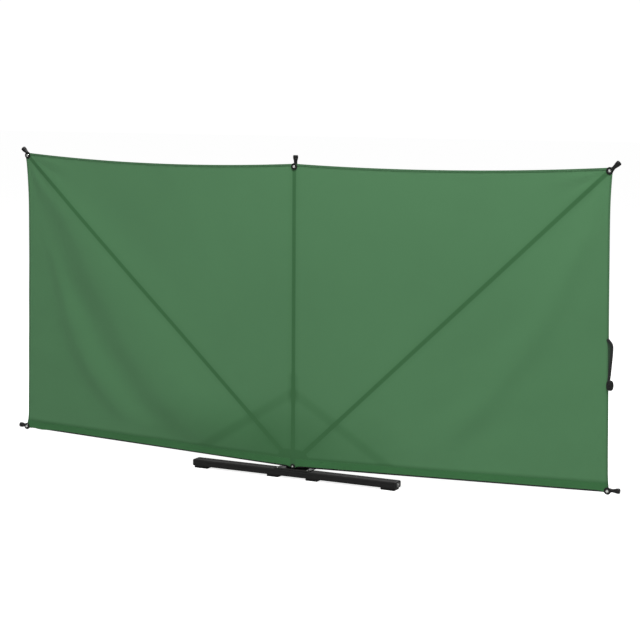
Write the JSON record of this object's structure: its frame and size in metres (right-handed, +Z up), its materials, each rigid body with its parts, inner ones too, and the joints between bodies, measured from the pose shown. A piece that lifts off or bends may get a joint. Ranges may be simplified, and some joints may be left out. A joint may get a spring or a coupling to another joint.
{
  "type": "folding privacy screen",
  "caption": "Free-standing fan-folding privacy screen: one cloth stretched on arms that radiate from a hub on a foot bar, with struts to a runner on the upright arm.",
  "frame": {"origin": "on the ground under the middle of the whole object's box", "axes": "+X to the viewer's right across the screen, +Y from the cloth to the rear leg, +Z up"},
  "size_m": [3.1346, 0.4666, 1.5162],
  "materials": {
    "cloth": "matt woven polyester, mid green",
    "arm_tube": "black powder coat",
    "foot_bar": "anthracite powder coat, fine grain",
    "end_cap": "grey moulded plastic",
    "black_plastic": "black moulded plastic",
    "rubber_pad": "black rubber",
    "eyelet": "black plated brass",
    "stud": "polished stud head",
    "pin_steel": "zinc plated",
    "webbing": "black polyester webbing"
  },
  "bodies": {
    "stand": {"foot_bar": "foot_bar", "foot_bar_left_cap": "end_cap", "foot_bar_right_cap": "end_cap", "foot_bar_left_end_pad": "rubber_pad", "foot_bar_left_inner_pad": "rubber_pad", "foot_bar_right_inner_pad": "rubber_pad", "foot_bar_right_end_pad": "rubber_pad", "rear_leg": "foot_bar", "rear_leg_cap": "end_cap", "rear_leg_pad": "rubber_pad", "hub_saddle": "black_plastic", "hub_plate": "black_plastic", "hub_pin": "pin_steel", "upright_socket": "black_plastic", "upright_tube": "arm_tube", "upright_tip_cap": "black_plastic", "upright_eyelet": "eyelet", "base_eyelet": "eyelet"},
    "left_lower_arm": {"left_lower_knuckle": "black_plastic", "left_lower_tube": "arm_tube", "left_lower_tip_cap": "black_plastic", "left_lower_eyelet": "eyelet", "left_strut_bracket": "black_plastic", "left_lower_cloth": "cloth"},
    "right_lower_arm": {"right_lower_knuckle": "black_plastic", "right_lower_tube": "arm_tube", "right_lower_tip_cap": "black_plastic", "right_lower_eyelet": "eyelet", "right_strut_bracket": "black_plastic", "right_lower_cloth": "cloth", "closing_strap": "webbing", "strap_toggle": "black_plastic"},
    "left_diagonal_arm": {"left_diagonal_knuckle": "black_plastic", "left_diagonal_tube": "arm_tube", "left_diagonal_tip_cap": "black_plastic", "left_diagonal_eyelet": "eyelet", "left_upper_cloth": "cloth"},
    "right_diagonal_arm": {"right_diagonal_knuckle": "black_plastic", "right_diagonal_tube": "arm_tube", "right_diagonal_tip_cap": "black_plastic", "right_diagonal_eyelet": "eyelet", "right_upper_cloth": "cloth"},
    "runner": {"runner": "black_plastic"},
    "left_strut": {"left_strut": "arm_tube"},
    "right_strut": {"right_strut": "arm_tube"}
  },
  "joints": [
    {"name": "left_lower_arm_fold", "type": "hinge", "parent": "stand", "child": "left_lower_arm", "pos_m": [0, -0.2033, 0.1055], "axis": [0, 1, 0], "range_deg": [0, 88.15], "deforming": ["left_lower_cloth"]},
    {"name": "right_lower_arm_fold", "type": "hinge", "parent": "stand", "child": "right_lower_arm", "pos_m": [0, -0.2033, 0.1055], "axis": [0, -1, 0], "range_deg": [0, 88.15], "deforming": ["right_lower_cloth", "closing_strap", "strap_toggle"]},
    {"name": "left_diagonal_arm_fold", "type": "hinge", "parent": "stand", "child": "left_diagonal_arm", "pos_m": [0, -0.2033, 0.1055], "axis": [0, 1, 0], "range_deg": [0, 46.66], "deforming": ["left_upper_cloth"]},
    {"name": "right_diagonal_arm_fold", "type": "hinge", "parent": "stand", "child": "right_diagonal_arm", "pos_m": [0, -0.2033, 0.1055], "axis": [0, -1, 0], "range_deg": [0, 46.66], "deforming": ["right_upper_cloth"]},
    {"name": "runner_slide", "type": "slide", "parent": "stand", "child": "runner", "axis": [0, 0, 1], "range_m": [0, 0.8447]},
    {"name": "left_strut_fold", "type": "hinge", "parent": "left_lower_arm", "child": "left_strut", "pos_m": [-0.53121, -0.2033, 0.07666], "axis": [0, -1, 0], "range_deg": [0, 143.13]},
    {"name": "right_strut_fold", "type": "hinge", "parent": "right_lower_arm", "child": "right_strut", "pos_m": [0.53121, -0.2033, 0.07666], "axis": [0, 1, 0], "range_deg": [0, 143.13]}
  ],
  "couplings": [
    {"joint": "right_lower_arm_fold", "follows": "left_lower_arm_fold", "ratio": 1},
    {"joint": "left_diagonal_arm_fold", "follows": "left_lower_arm_fold", "ratio": 0.52931},
    {"joint": "right_diagonal_arm_fold", "follows": "left_lower_arm_fold", "ratio": 0.52931},
    {"joint": "runner_slide", "follows": "left_lower_arm_fold", "m_per_rad": 0.54901},
    {"joint": "left_strut_fold", "follows": "left_lower_arm_fold", "ratio": 1.6237},
    {"joint": "right_strut_fold", "follows": "left_lower_arm_fold", "ratio": 1.6237}
  ]
}
